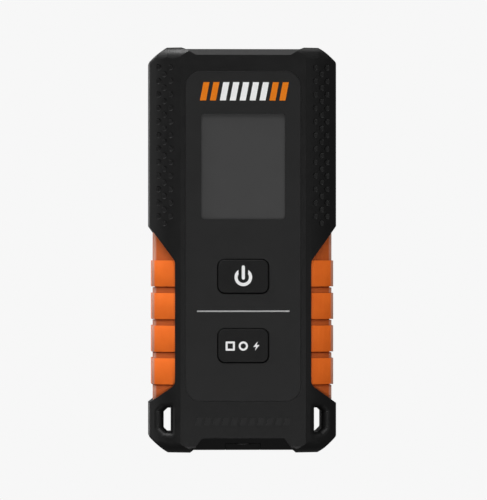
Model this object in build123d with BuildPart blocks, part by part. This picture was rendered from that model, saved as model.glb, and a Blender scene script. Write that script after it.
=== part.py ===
from build123d import *
import os
from math import asin, degrees, pi, sqrt

os.makedirs("parts", exist_ok=True)

# A hand-held stud finder, standing upright. Millimetres. +Z runs up along the body,
# the front face looks along -Y, and the rear face slides on the wall at +Y. The origin
# is the middle of the footprint, on the surface that the bottom bumpers stand on.

# ---------------------------------------------------------------- driving dimensions
BODY_H = 140.0
HALF_W = 32.42
FRONT_Y = -13.2
REAR_Y = 13.2
PARTING_Y = 2.0
PARTING_GROOVE = 0.35
WALL = 2.6
FIT = 0.15

# cross-section of the case
CREASE_X = 21.6
SLOPE_END_Y = -7.6
SLOPE_R = 23.5
FRONT_CORNER_R = 1.6
FRONT_CORNER_Y = -6.0
FRONT_EDGE_R = 1.4
FRONT_END_R = 2.2
SLOPE_END_R = 4.5
LEAN_X = (24.2, 28.4)
LEAN_GAP = 0.02
END_REACH = 12.0
REAR_CORNER_R = 4.5
REAR_EDGE_R = 1.2

# outline of the case, seen from the front
EAR_TOP_X = (21.2, 26.1)
EAR_SIDE_Z = 134.9
EAR_ARC_R = 31.0
HEAD_X = 19.8
HEAD_Z = 139.4
BUMPER_X = (18.3, 25.8)
BUMPER_SIDE_Z = 5.55
BUMPER_ARC_R = 28.0
TAIL_X = 17.3
TAIL_Z = 0.88

# bevels in the middle of the top and bottom edges
TOP_BEVEL_Z = 137.3
TOP_BEVEL_X = 16.4
TOP_BEVEL_DEPTH = 3.0
BOTTOM_BEVEL_Z = 5.08
BOTTOM_BEVEL_X = 14.2
BOTTOM_BEVEL_DEPTH = 4.4
BEVEL_CORNER_R = 1.5

# side grips
GRIP_TOP_Z = (78.3, 66.1)
GRIP_BOTTOM_Z = (17.1, 23.4)
GRIP_INNER_X = 23.5
GRIP_CORNER_R = 3.0
GRIP_FLOOR_INSET = 2.8
GRIP_GROOVE_INSET = 1.6
GRIP_PAD_INSET = 1.0
GRIP_SHELL_INSET = 5.0
GRIP_SHOULDER = 2.0
PAD_TOP_Z = 66.4
PAD_H = 9.0
PAD_PITCH = 11.26
PAD_COUNT = 4
PAD_SLIT_H = 0.4
PAD_SLIT_INSET = 2.3

# dimples
DIMPLE_X = (25.2, 27.4, 29.4)
DIMPLE_TOP_Z = 133.0
DIMPLE_PITCH = 4.67
DIMPLE_ROWS = 12
DIMPLE_R = 1.0
DIMPLE_DRAFT = 14
DIMPLE_FLOOR_R = 0.4
DIMPLE_FLUSH = 0.5

# lanyard slots
SLOT_X = (24.7, 27.2)
SLOT_Z = (7.25, 15.45)
SLOT_CUT = 1.3
SLOT_INNER_R = 0.7
SLOT_OUTER_R = 0.35
SLOT_FRONT_DRAFT = 0.15
SLOT_REAR_DRAFT = 0.5
SLOT_MOUTH_R = 2.1

# face panel, window and badge area
PANEL_W = 39.7
PANEL_Z = (17.9, 131.6)
PANEL_R = 5.2
PANEL_Y = -13.32
PANEL_T = 1.0
PANEL_EDGE = 0.08
WINDOW_W = 29.0
WINDOW_Z = (80.6, 116.9)
WINDOW_R = 1.2
PRINT_T = 0.06

# buttons
BUTTON_W = 17.5
BUTTON_H = 11.6
BUTTON_R = 2.4
BUTTON_Z = {"power": 60.9, "mode": 37.0}
BUTTON_FACE_Y = -13.95
FLANGE_MARGIN = 1.4
FLANGE_T = 1.0
FLANGE_R = 3.4

# electronics stack, front to back
LENS_T = 1.0
GASKET_T = 0.6
GASKET_BACK = 0.5
GLASS_T = 1.2
BACKLIGHT_T = 1.8
BOARD_Y = (-6.6, -5.0)
BOARD_W = 44.0
BOARD_Z = (22.0, 126.0)
SENSOR_BOARD_T = 1.6
ELECTRODE_T = 0.2

# batteries and door
CELL_DIA = 10.5
CELL_L = 44.5
CELL_EDGE_R = 0.4
CELL_PITCH = 11.2
CELL_Y = 5.35
BAY_Z = (11.0, 61.5)
BAY_HALF_W = 17.0
BAY_WALL = 1.2
CONTACT_T = 0.4
SPRING_L = 5.2
DOOR_HALF_W = 17.6
DOOR_Z = (4.0, 66.2)
DOOR_T = 2.0
LATCH_HALF_W = 5.9
LATCH_TOP_Z = 3.15
LATCH_ARM_Z = 2.3
LATCH_REAR_Y = 11.6
LATCH_TIP_Y = -4.5
BUMP_Y = (-10.2, -9.0, -6.4)
BUMP_H = 0.35
NAIL_NOTCH_W = 5.7
NAIL_NOTCH_H = 0.6
NAIL_NOTCH_Y = -10.3

# screws and the solid blocks around them
SCREW_TOP = (25.5, 127.0)
SCREW_BOTTOM = (21.0, 12.0)
BOSS_R = 3.0
LOWER_BLOCK_X = 18.8
LOWER_BLOCK_Z = 20.0
LATCH_WALL_X = 8.0
LATCH_WALL_Z = 4.8

BAY_FLOOR_Y = 0.1
DOOR_R = 1.5
TONGUE_X = 10.0
TONGUE_W = 6.0
TONGUE_Y = (9.4, 10.5)
TONGUE_Z = (64.6, 68.2)
TONGUE_RELIEF_Z = 61.9
LEAD_SPOTS = ((-15.2, 61.3), (15.2, 11.2))
LEAD_W = 1.6
LEAD_T = 0.4

# small hardware
SCREW_R = 1.1
SCREW_HEAD_R = 2.2
SCREW_HEAD_T = 1.6
SCREW_SINK = 4.0
SCREW_TIP_Y = -4.5
BOARD_SCREW_X = 20.0
BOARD_SCREW_Z = (26.0, 72.0, 124.0)
BOARD_SCREW_R = 0.9
BOARD_SCREW_L = 5.0
BOARD_BOSS_R = 1.9
SOUND_X = 15.0
SOUND_Z = 76.0
SOUND_PITCH = 2.6
SOUND_R = 0.6
LABEL_X = -6.0
LABEL_Z = 76.5
LABEL_W = 24.0
LABEL_H = 9.0
LABEL_T = 0.2

# print and raised marks
PANEL_GAP = 0.04
BUTTON_GAP = 0.25
LENS_W = 31.0
LENS_H = 38.3
LENS_R = 1.8
LENS_GAP = 0.05
RAISED_BAR_W = 1.9
RAISED_BAR_H = 2.6
RAISED_BAR_SLANT = 0.7
RAISED_BAR_T = 0.3
RAISED_BAR_Z = 10.8
RAISED_BAR_PITCH = 3.05
RAISED_BARS = 11

BADGE_X = 0.4
BADGE_Z = 124.7
BADGE_H = 6.3
BADGE_PITCH = 3.42
BADGE_BAR_W = 2.1
BADGE_SLANT = 1.2
DIVIDER_Z = 48.9
DIVIDER_L = 32.0
DIVIDER_H = 0.5
POWER_RING_Z = 60.6
POWER_RING_R = 2.5
SYMBOL_STROKE = 1.1
POWER_GAP_W = 3.4
POWER_BAR_Z = (59.8, 64.7)
MODE_SYMBOL_Z = 36.9
MODE_SYMBOL_H = 3.2
MODE_PITCH = 4.5
MODE_STROKE = 0.7
MODE_CORNER_R = 0.3
BOLT_OUTLINE = ((0.5, 1.6), (-1.1, -0.3), (-0.1, -0.3), (-0.5, -1.6), (1.1, 0.4), (0.1, 0.4))
BUTTON_EDGE_R = 0.5
FLANGE_Y = -10.55
SWITCH_W = 6.0
SWITCH_T = 2.1
SWITCH_CORNER_R = 0.4
SWITCH_FLOOR_T = 0.2
PLUNGER_R = 1.5
PLUNGER_L = 2.0

# inner pieces
LCD_W = 35.4
LCD_H = 45.4
LCD_RIM = 0.6
RIBBON_W = 16.0
RIBBON_T = 0.15
RIBBON_LIFT = 0.35
BOARD_SCREW_HEAD_R = 1.7
BOARD_SCREW_HEAD_T = 1.3
BUZZER_R = 6.0
BUZZER_T = 4.5
SENSOR_BOARD_Y = 8.8
SENSOR_BOARD_W = 42.0
SENSOR_BOARD_Z = (84.0, 122.0)
COIL_Z = 103.0
COIL_OUTER_R = 16.0
COIL_INNER_R = 11.0
COIL_T = 3.0
COIL_FLANGE_T = 0.5
COIL_RIM = 1.0
CELL_CAP_R = 1.9
CELL_CAP_T = 0.9
SPRING_PITCH = 1.3
SPRING_WIRE_R = 0.3
SPRING_R = 2.9
CONTACT_W = 8.5
CONTACT_R = 0.8
FOAM_T = 0.4
PAD_X = (20.8, 14.0)
PAD_Z = (26.0, 131.5)
GLIDE_T = 0.8


# pieces on the boards, as spots (x, z) and sizes
MCU_SPOT = (0.0, 100.0)
MCU_W = 9.0
MCU_T = 1.2
MCU_EDGE = 0.2
CHIP_SPOTS = ((-12.0, 108.0), (12.0, 108.0), (-12.0, 68.0), (10.0, 68.0))
CHIP_SIZE = (5.0, 6.2)
CHIP_T = 1.5
CAPACITOR_SPOTS = ((-10.0, 98.0), (10.0, 98.0), (-10.0, 90.0), (0.0, 72.0))
CAPACITOR_R = 2.0
CAPACITOR_H = 3.0
CAPACITOR_EDGE_R = 0.4
BUZZER_SPOT = (13.0, 82.0)
BUZZER_HOLE_R = 1.0
BUZZER_HOLE_DEPTH = 1.0
HEADER_SPOT = (-13.0, 86.0)
HEADER_SIZE = (10.2, 2.6)
POST_X = 19.0
POST_Z = (90.0, 118.0)
POST_R = 2.2
BOARD_R = 1.5
SENSOR_BOARD_R = 2.0
ELECTRODES = 5
ELECTRODE_GAP = 1.2
ELECTRODE_MARGIN = 2.0
ELECTRODE_R = 0.8
DRIVE_SLOT_L = 2.4
DRIVE_SLOT_W = 0.4
DRIVE_SLOT_DEPTH = 0.6
RIBBON_DROP = (2.5, 4.0, 7.0)
RIBBON_CLEAR = 0.5

# pieces of the door and the rear face
DOOR_RIDGES = 5
DOOR_RIDGE_PITCH = 2.2
DOOR_RIDGE_L = 16.0
DOOR_RIDGE_W = 1.0
DOOR_RIDGE_DEPTH = 0.5
DOOR_RIDGE_Z = 13.0
TONGUE_STEP = 0.1
TONGUE_CLEAR = 0.35
FOAM_SIZE = (30.0, 12.0)
FOAM_Z = 40.0
SCREW_EDGE = 0.3
SCREW_SLOT_L = 2.6
SCREW_SLOT_W = 0.6
SCREW_SLOT_DEPTH = 1.0
SHAFT_CLEAR = 0.1
HEAD_CLEAR = 0.2
LOWER_PAD_SIZE = (3.6, 14.0)
UPPER_PAD_SIZE = (14.0, 4.0)
PAD_CORNER_R = 1.7
LABEL_R = 1.0
LABEL_CLEAR = 0.15
LABEL_BELOW = 0.05

SPRING_BASE_Z = BAY_Z[0] + CONTACT_T
SPRING_TOP_Z = BAY_Z[1] - CONTACT_T - SPRING_L
GLASS_Y = FRONT_Y + WALL + GASKET_T
RIBBON_Y = GLASS_Y + GLASS_T + BACKLIGHT_T + RIBBON_LIFT
WINDOW_H = WINDOW_Z[1] - WINDOW_Z[0]
WINDOW_MID_Z = sum(WINDOW_Z) / 2
PANEL_H = PANEL_Z[1] - PANEL_Z[0]
PANEL_MID_Z = sum(PANEL_Z) / 2
BUTTON_HOLE_W = BUTTON_W + 2 * BUTTON_GAP
BUTTON_HOLE_H = BUTTON_H + 2 * BUTTON_GAP
INNER_FRONT_Y = FRONT_Y + WALL
INNER_REAR_Y = REAR_Y - WALL


# ---------------------------------------------------------------- shared case geometry
def case_prism(inset):
    """The case's cross-section, moved inwards by inset, over more than the whole height."""
    with BuildPart() as prism:
        with BuildSketch(Plane.XY.offset(-1)) as section:
            with BuildLine():
                front = Line((0, FRONT_Y), (CREASE_X, FRONT_Y))
                slope = RadiusArc(front @ 1, (HALF_W, SLOPE_END_Y), -SLOPE_R)
                side = Line(slope @ 1, (HALF_W, REAR_Y))
                Line(side @ 1, (0, REAR_Y))
                mirror(about=Plane.YZ)
            make_face()
            outer = section.vertices().filter_by(lambda v: abs(v.X) > HALF_W - 0.1)
            fillet(outer.filter_by(lambda v: v.Y < 0), radius=FRONT_CORNER_R)
            rear = section.vertices().filter_by(lambda v: v.Y > REAR_Y - 0.1)
            fillet(rear.filter_by(lambda v: abs(v.X) > 1), radius=REAR_CORNER_R)
            if inset:
                offset(amount=-inset, kind=Kind.INTERSECTION)
        extrude(amount=BODY_H + 2)
    return prism.part


def outline_prism(inset):
    """The case's outline seen from the front, moved inwards by inset, over all depths."""
    with BuildPart() as prism:
        with BuildSketch(Plane.XZ):
            with BuildLine():
                head = Polyline((0, HEAD_Z), (HEAD_X, HEAD_Z), (EAR_TOP_X[0], BODY_H))
                top = Line(head @ 1, (EAR_TOP_X[1], BODY_H))
                ear = RadiusArc(top @ 1, (HALF_W, EAR_SIDE_Z), EAR_ARC_R)
                side = Line(ear @ 1, (HALF_W, BUMPER_SIDE_Z))
                bumper = RadiusArc(side @ 1, (BUMPER_X[1], 0), BUMPER_ARC_R)
                Polyline(bumper @ 1, (BUMPER_X[0], 0), (TAIL_X, TAIL_Z), (0, TAIL_Z))
                mirror(about=Plane.YZ)
            make_face()
            if inset:
                offset(amount=-inset, kind=Kind.INTERSECTION)
        extrude(amount=HALF_W, both=True)
    return prism.part


def grip_zone(margin):
    """Region on the right side that the soft grip covers, widened by margin, over all depths."""
    reach = HALF_W + 4
    rise = (GRIP_TOP_Z[0] - GRIP_TOP_Z[1]) / (HALF_W - GRIP_INNER_X)
    fall = (GRIP_BOTTOM_Z[1] - GRIP_BOTTOM_Z[0]) / (HALF_W - GRIP_INNER_X)
    with BuildPart() as zone:
        with BuildSketch(Plane.XZ) as profile:
            with BuildLine():
                Polyline(
                    (GRIP_INNER_X, GRIP_BOTTOM_Z[1]),
                    (GRIP_INNER_X, GRIP_TOP_Z[1]),
                    (reach, GRIP_TOP_Z[0] + rise * (reach - HALF_W)),
                    (reach, GRIP_BOTTOM_Z[0] - fall * (reach - HALF_W)),
                    close=True,
                )
            make_face()
            fillet(profile.vertices().group_by(Axis.X)[0], radius=GRIP_CORNER_R)
            if margin:
                offset(amount=margin, kind=Kind.INTERSECTION)
        extrude(amount=HALF_W, both=True)
    return zone.part


def edge_bevel(z_edge, x_edge, z_face, x_face, depth):
    """Cutter for the bevel in the middle of the top or bottom edge of the front."""
    beyond = 3 if z_edge > z_face else -3
    with BuildPart() as cutter:
        with BuildSketch(Plane.XZ) as window:
            with BuildLine():
                Polyline(
                    (-x_face, z_face),
                    (x_face, z_face),
                    (x_edge, z_edge),
                    (x_edge, z_edge + beyond),
                    (-x_edge, z_edge + beyond),
                    (-x_edge, z_edge),
                    close=True,
                )
            make_face()
            fillet(window.vertices().sort_by(Axis.Z, reverse=z_edge > z_face)[-2:], radius=BEVEL_CORNER_R)
        extrude(amount=HALF_W, both=True)
        slope = (z_edge - z_face) / depth
        with BuildSketch(Plane.YZ):
            with BuildLine():
                Polyline(
                    (FRONT_Y - 2, z_face - 2 * slope),
                    (FRONT_Y + depth + abs(3 / slope), z_edge + beyond),
                    (FRONT_Y - 2, z_edge + beyond),
                    close=True,
                )
            make_face()
        extrude(amount=HALF_W, both=True, mode=Mode.INTERSECT)
    return cutter.part


def lanyard_slot():
    """Through slot at the lower right corner: a half hexagon, wider at both mouths."""
    with BuildPart() as slot:
        for mouth_y, draft in ((FRONT_Y - 1, SLOT_FRONT_DRAFT), (REAR_Y + 1, SLOT_REAR_DRAFT)):
            with BuildSketch(Plane.XZ.offset(-PARTING_Y)) as waist:
                with BuildLine():
                    Polyline(
                        (SLOT_X[0], SLOT_Z[0]),
                        (SLOT_X[1] - SLOT_CUT, SLOT_Z[0]),
                        (SLOT_X[1], SLOT_Z[0] + SLOT_CUT),
                        (SLOT_X[1], SLOT_Z[1] - SLOT_CUT),
                        (SLOT_X[1] - SLOT_CUT, SLOT_Z[1]),
                        (SLOT_X[0], SLOT_Z[1]),
                        close=True,
                    )
                make_face()
                inner = waist.vertices().filter_by(lambda v: v.X < SLOT_X[0] + 0.1)
                outer = waist.vertices().filter_by(lambda v: v.X > SLOT_X[0] + 0.1)
                fillet(outer, radius=SLOT_OUTER_R)
                fillet(inner, radius=SLOT_INNER_R)
            with BuildSketch(Plane.XZ.offset(-mouth_y)):
                add(waist.sketch_local)
                offset(amount=draft, kind=Kind.INTERSECTION)
            loft()
    return slot.part


def on_slot_mouth(edge):
    """Whether an edge runs around the front mouth of a lanyard slot."""
    middle = edge @ 0.5
    beside = CREASE_X < abs(middle.X) < HALF_W - SLOT_MOUTH_R
    level = SLOT_Z[0] - SLOT_MOUTH_R < middle.Z < SLOT_Z[1] + SLOT_MOUTH_R
    return beside and level and max((edge @ 0).Y, (edge @ 1).Y) < SLOPE_END_Y


def slope_centre():
    """Centre of the arc of the right-hand front slope, in the XY plane."""
    chord = Vector(HALF_W - CREASE_X, SLOPE_END_Y - FRONT_Y)
    middle = Vector(CREASE_X, FRONT_Y) + chord * 0.5
    to_centre = sqrt(SLOPE_R**2 - (chord.length / 2) ** 2)
    return middle + Vector(-chord.Y, chord.X).normalized() * to_centre


def slope_y(x):
    """Depth of the front slope at x."""
    centre = slope_centre()
    return centre.Y - sqrt(SLOPE_R**2 - (x - centre.X) ** 2)


def side_view(radius):
    """The case's height seen from the side, with the top and bottom of the front rounded."""
    with BuildPart() as view:
        with BuildSketch(Plane.YZ) as profile:
            with Locations((0, BODY_H / 2)):
                Rectangle(4 * HALF_W, BODY_H, align=(Align.MIN, Align.CENTER))
            fillet(profile.vertices().group_by(Axis.X)[0], radius=radius)
        extrude(amount=3 * HALF_W, both=True)
    return view.part


def leaning_view(x):
    """A side view, turned so that its front lies against the slope at x."""
    lean = degrees(asin((x - slope_centre().X) / SLOPE_R))
    return Pos(x, slope_y(x) - LEAN_GAP, 0) * Rot(0, 0, lean) * side_view(SLOPE_END_R)


def slanted_bar(width, height, slant):
    """Flat parallelogram, centred, with its top moved to the right by slant."""
    with BuildSketch() as bar:
        with BuildLine():
            Polyline(
                (-width / 2 - slant / 2, -height / 2),
                (width / 2 - slant / 2, -height / 2),
                (width / 2 + slant / 2, height / 2),
                (-width / 2 + slant / 2, height / 2),
                close=True,
            )
        make_face()
    return bar.sketch


PARTING = Plane.XZ.offset(-PARTING_Y)
SHARP_CASE = case_prism(0) & outline_prism(0)

RIGHT_SLOT = lanyard_slot()
LEFT_SLOT = RIGHT_SLOT.mirror(Plane.YZ)

with BuildPart() as case_front:
    add(split(SHARP_CASE, PARTING, keep=Keep.TOP))
    ends = case_front.edges().filter_by(lambda e: abs((e @ 0.5).Z - BODY_H / 2) > BODY_H / 2 - END_REACH)
    fillet(ends.filter_by(lambda e: (e @ 0.5).Y < FRONT_CORNER_Y), radius=FRONT_EDGE_R)
    add(RIGHT_SLOT, mode=Mode.SUBTRACT)
    add(LEFT_SLOT, mode=Mode.SUBTRACT)
    fillet(case_front.edges().filter_by(on_slot_mouth), radius=SLOT_MOUTH_R)
    add(Pos(0, FRONT_Y, 0) * side_view(FRONT_END_R), mode=Mode.INTERSECT)
    for x in LEAN_X:
        add(leaning_view(x), mode=Mode.INTERSECT)
        add(leaning_view(x).mirror(Plane.YZ), mode=Mode.INTERSECT)

with BuildPart() as case_rear:
    add(split(SHARP_CASE, PARTING, keep=Keep.BOTTOM))
    fillet(case_rear.faces().sort_by(Axis.Y)[-1].outer_wire().edges(), radius=REAR_EDGE_R)

CAVITY = case_prism(WALL) & outline_prism(WALL)
RIGHT_GRIP_ZONE = grip_zone(0)
LEFT_GRIP_ZONE = RIGHT_GRIP_ZONE.mirror(Plane.YZ)
RIGHT_SHOULDER = grip_zone(GRIP_SHOULDER) - case_prism(GRIP_SHELL_INSET)
LEFT_SHOULDER = RIGHT_SHOULDER.mirror(Plane.YZ)
TOP_BEVEL = edge_bevel(HEAD_Z, HEAD_X, TOP_BEVEL_Z, TOP_BEVEL_X, TOP_BEVEL_DEPTH)
BOTTOM_BEVEL = edge_bevel(TAIL_Z, TAIL_X, BOTTOM_BEVEL_Z, BOTTOM_BEVEL_X, BOTTOM_BEVEL_DEPTH)

with BuildPart() as parting_ring:
    with BuildSketch(PARTING):
        Rectangle(3 * HALF_W, 3 * BODY_H)
    extrude(amount=PARTING_GROOVE, both=True)
    add(case_prism(PARTING_GROOVE) & outline_prism(PARTING_GROOVE), mode=Mode.SUBTRACT)

# space inside the case that both housings share; what is left out of it becomes bosses and blocks
with BuildPart() as interior:
    add(CAVITY)
    add(RIGHT_SHOULDER, mode=Mode.SUBTRACT)
    add(LEFT_SHOULDER, mode=Mode.SUBTRACT)
    with Locations((LOWER_BLOCK_X + HALF_W / 2, 0, 0), (-LOWER_BLOCK_X - HALF_W / 2, 0, 0)):
        Box(HALF_W, 4 * REAR_Y, 2 * LOWER_BLOCK_Z, mode=Mode.SUBTRACT)
    Box(2 * LATCH_WALL_X, 4 * REAR_Y, 2 * LATCH_WALL_Z, mode=Mode.SUBTRACT)
    with BuildSketch(Plane.XZ):
        with Locations(*[(x, SCREW_TOP[1]) for x in (-SCREW_TOP[0], SCREW_TOP[0])]):
            Circle(BOSS_R)
    extrude(amount=HALF_W, both=True, mode=Mode.SUBTRACT)

# channel for the latch arm, under the bottom wall
with BuildPart() as latch_channel:
    with BuildSketch(Plane.YZ):
        with BuildLine():
            Polyline(
                (FRONT_Y - 1, TAIL_Z - 2),
                (FRONT_Y - 1, LATCH_TOP_Z + FIT),
                (BUMP_Y[0] - FIT, LATCH_TOP_Z + FIT),
                (BUMP_Y[1], LATCH_TOP_Z + BUMP_H + FIT),
                (BUMP_Y[2] + FIT, LATCH_TOP_Z + FIT),
                (LATCH_REAR_Y - FIT, LATCH_TOP_Z + FIT),
                (LATCH_REAR_Y - FIT, DOOR_Z[0]),
                (REAR_Y + 1, DOOR_Z[0]),
                (REAR_Y + 1, TAIL_Z - 2),
                close=True,
            )
        make_face()
    extrude(amount=LATCH_HALF_W + FIT, both=True)


# ---------------------------------------------------------------- housings
# each dimple is a drafted pocket cut along Y, deepest on its inner side
with BuildPart() as dimples:
    for column, x in enumerate(DIMPLE_X):
        top = DIMPLE_TOP_Z - (DIMPLE_PITCH / 2 if column == 1 else 0)
        with BuildSketch(Plane.XZ.offset(-slope_y(x + DIMPLE_FLUSH * DIMPLE_R))):
            with Locations(*[(x, top - DIMPLE_PITCH * row) for row in range(DIMPLE_ROWS)]):
                Circle(DIMPLE_R)
        extrude(amount=2 * DIMPLE_R, taper=-DIMPLE_DRAFT)
    pocket_floors = dimples.faces().filter_by(Axis.Y).group_by(SortBy.AREA)[0]
    fillet(pocket_floors.edges(), radius=DIMPLE_FLOOR_R)
    mirror(about=Plane.YZ)

with BuildPart() as shell:
    add(case_front.part)
    add(case_rear.part)
    add(interior.part, mode=Mode.SUBTRACT)
    add(TOP_BEVEL, mode=Mode.SUBTRACT)
    add(BOTTOM_BEVEL, mode=Mode.SUBTRACT)
    add(RIGHT_GRIP_ZONE - case_prism(GRIP_FLOOR_INSET), mode=Mode.SUBTRACT)
    add(LEFT_GRIP_ZONE - case_prism(GRIP_FLOOR_INSET), mode=Mode.SUBTRACT)
    add(RIGHT_SLOT, mode=Mode.SUBTRACT)
    add(LEFT_SLOT, mode=Mode.SUBTRACT)
    add(parting_ring.part, mode=Mode.SUBTRACT)
    add(latch_channel.part, mode=Mode.SUBTRACT)

screw_spots = [(side * x, z) for side in (-1, 1) for x, z in (SCREW_TOP, SCREW_BOTTOM)]
board_screw_spots = [(side * BOARD_SCREW_X, z) for side in (-1, 1) for z in BOARD_SCREW_Z]

with BuildPart() as front_housing:
    add(split(shell.part, PARTING, keep=Keep.TOP))
    # bosses for the main board
    with BuildSketch(Plane.XZ.offset(-BOARD_Y[0])):
        with Locations(*board_screw_spots):
            Circle(BOARD_BOSS_R)
    extrude(amount=BOARD_Y[0] - INNER_FRONT_Y)
    with BuildSketch(Plane.XZ.offset(-BOARD_Y[0])):
        with Locations(*board_screw_spots):
            Circle(BOARD_SCREW_R)
    extrude(amount=BOARD_SCREW_L - (BOARD_Y[1] - BOARD_Y[0]), mode=Mode.SUBTRACT)
    # pocket for the face panel, and the window and button openings
    with BuildSketch(Plane.XZ.offset(-FRONT_Y + 1)):
        with Locations((0, PANEL_MID_Z)):
            RectangleRounded(PANEL_W + 2 * PANEL_GAP, PANEL_H + 2 * PANEL_GAP, PANEL_R + PANEL_GAP)
    extrude(amount=-(PANEL_Y + PANEL_T - FRONT_Y + 1), mode=Mode.SUBTRACT)
    with BuildSketch(Plane.XZ.offset(-FRONT_Y)):
        with Locations((0, WINDOW_MID_Z)):
            RectangleRounded(LENS_W, LENS_H, LENS_R)
    extrude(amount=-(PANEL_Y + PANEL_T + LENS_T - FRONT_Y), mode=Mode.SUBTRACT)
    with BuildSketch(Plane.XZ.offset(-FRONT_Y)):
        with Locations((0, WINDOW_MID_Z)):
            RectangleRounded(WINDOW_W, WINDOW_H, WINDOW_R)
        with Locations(*[(0, z) for z in BUTTON_Z.values()]):
            RectangleRounded(BUTTON_HOLE_W, BUTTON_HOLE_H, BUTTON_R + BUTTON_GAP)
    extrude(amount=-2 * WALL, mode=Mode.SUBTRACT)
    add(dimples.part, mode=Mode.SUBTRACT)
    # thread holes for the housing screws
    with BuildSketch(PARTING):
        with Locations(*screw_spots):
            Circle(SCREW_R)
    extrude(amount=PARTING_Y - SCREW_TIP_Y, mode=Mode.SUBTRACT)
    # plain raised bars low on the front face
    with BuildSketch(Plane.XZ.offset(-FRONT_Y)):
        with Locations((0, RAISED_BAR_Z)):
            with GridLocations(RAISED_BAR_PITCH, 1, RAISED_BARS, 1):
                add(slanted_bar(RAISED_BAR_W, RAISED_BAR_H, RAISED_BAR_SLANT))
    extrude(amount=RAISED_BAR_T)
front_housing.part.label = "front_housing"
export_step(front_housing.part, "parts/front_housing.step")

bay_outer = Plane.XZ.offset(-BAY_FLOOR_Y + BAY_WALL)

with BuildPart() as rear_housing:
    add(split(shell.part, PARTING, keep=Keep.BOTTOM))
    # battery bay, open to the rear
    with BuildSketch(bay_outer):
        with Locations((0, sum(BAY_Z) / 2)):
            Rectangle(2 * (BAY_HALF_W + BAY_WALL), BAY_Z[1] - BAY_Z[0] + 2 * BAY_WALL)
    extrude(amount=-(INNER_REAR_Y - BAY_FLOOR_Y + BAY_WALL))
    with BuildSketch(Plane.XZ.offset(-BAY_FLOOR_Y)):
        with Locations((0, sum(BAY_Z) / 2)):
            Rectangle(2 * BAY_HALF_W, BAY_Z[1] - BAY_Z[0])
    extrude(amount=-(REAR_Y - BAY_FLOOR_Y), mode=Mode.SUBTRACT)
    # seat for the door, and the reliefs that its tongues swing through
    with BuildSketch(Plane.XZ.offset(-REAR_Y)):
        with Locations((0, sum(DOOR_Z) / 2)):
            RectangleRounded(2 * DOOR_HALF_W + 2 * FIT, DOOR_Z[1] - DOOR_Z[0] + 2 * FIT, DOOR_R + FIT)
    extrude(amount=DOOR_T, mode=Mode.SUBTRACT)
    with BuildSketch(Plane.XZ.offset(-REAR_Y + DOOR_T)):
        with Locations(*[(side * TONGUE_X, (DOOR_Z[1] + FIT + TONGUE_RELIEF_Z) / 2) for side in (-1, 1)]):
            Rectangle(TONGUE_W + 2 * TONGUE_CLEAR, DOOR_Z[1] + FIT - TONGUE_RELIEF_Z)
    extrude(amount=WALL - DOOR_T, mode=Mode.SUBTRACT)
    # slots in the bay floor for the two battery leads
    with BuildSketch(bay_outer):
        with Locations(*LEAD_SPOTS):
            Rectangle(LEAD_W + 2 * FIT, LEAD_T + 2 * FIT)
    extrude(amount=-BAY_WALL, mode=Mode.SUBTRACT)
    # screw holes with counterbores
    with Locations(Plane.XZ.offset(-REAR_Y)):
        with Locations(*[(x, z, 0) for x, z in screw_spots]):
            Cylinder(SCREW_R + SHAFT_CLEAR, 3 * REAR_Y, mode=Mode.SUBTRACT)
            Cylinder(SCREW_HEAD_R + HEAD_CLEAR, 2 * (SCREW_SINK + SCREW_HEAD_T), mode=Mode.SUBTRACT)
    # sound holes for the buzzer, and a shallow seat for the label
    with BuildSketch(Plane.XZ.offset(-REAR_Y)):
        with Locations((SOUND_X, SOUND_Z)):
            with GridLocations(SOUND_PITCH, SOUND_PITCH, 4, 2):
                Circle(SOUND_R)
    extrude(amount=WALL, both=True, mode=Mode.SUBTRACT)
    with BuildSketch(Plane.XZ.offset(-REAR_Y)):
        with Locations((LABEL_X, LABEL_Z)):
            RectangleRounded(LABEL_W + 2 * LABEL_CLEAR, LABEL_H + 2 * LABEL_CLEAR, LABEL_R + LABEL_CLEAR)
    extrude(amount=LABEL_T, both=True, mode=Mode.SUBTRACT)
rear_housing.part.label = "rear_housing"
export_step(rear_housing.part, "parts/rear_housing.step")


# ---------------------------------------------------------------- side grips
def grip_pads(zone):
    """The four raised pads of one grip, through to its inside."""
    with BuildPart() as pads:
        for row in range(PAD_COUNT):
            with Locations((0, 0, PAD_TOP_Z - PAD_H / 2 - PAD_PITCH * row)):
                Box(3 * HALF_W, 3 * HALF_W, PAD_H)
        add(zone, mode=Mode.INTERSECT)
        add(case_prism(GRIP_PAD_INSET), mode=Mode.INTERSECT)
    return pads.part


def pad_slits():
    """Narrow slits in both grips, one under each pad."""
    with BuildPart() as slits:
        for row in range(PAD_COUNT):
            with Locations((0, 0, PAD_TOP_Z - PAD_H - PAD_SLIT_H / 2 - PAD_PITCH * row)):
                Box(3 * HALF_W, 3 * HALF_W, PAD_SLIT_H)
        add(case_prism(PAD_SLIT_INSET), mode=Mode.SUBTRACT)
    return slits.part


def side_grip(zone):
    """Soft grip that fills its pocket and stands proud of it in four pads."""
    pads = grip_pads(zone)
    with BuildPart() as grip:
        add(zone)
        add(case_prism(GRIP_GROOVE_INSET), mode=Mode.INTERSECT)
        add(pads)
        add(case_prism(GRIP_FLOOR_INSET), mode=Mode.SUBTRACT)
        add(pad_slits(), mode=Mode.SUBTRACT)
    return grip.part


with BuildPart() as right_side_grip:
    add(side_grip(RIGHT_GRIP_ZONE))
right_side_grip.part.label = "right_side_grip"
export_step(right_side_grip.part, "parts/right_side_grip.step")

with BuildPart() as left_side_grip:
    add(side_grip(LEFT_GRIP_ZONE))
left_side_grip.part.label = "left_side_grip"
export_step(left_side_grip.part, "parts/left_side_grip.step")


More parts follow.
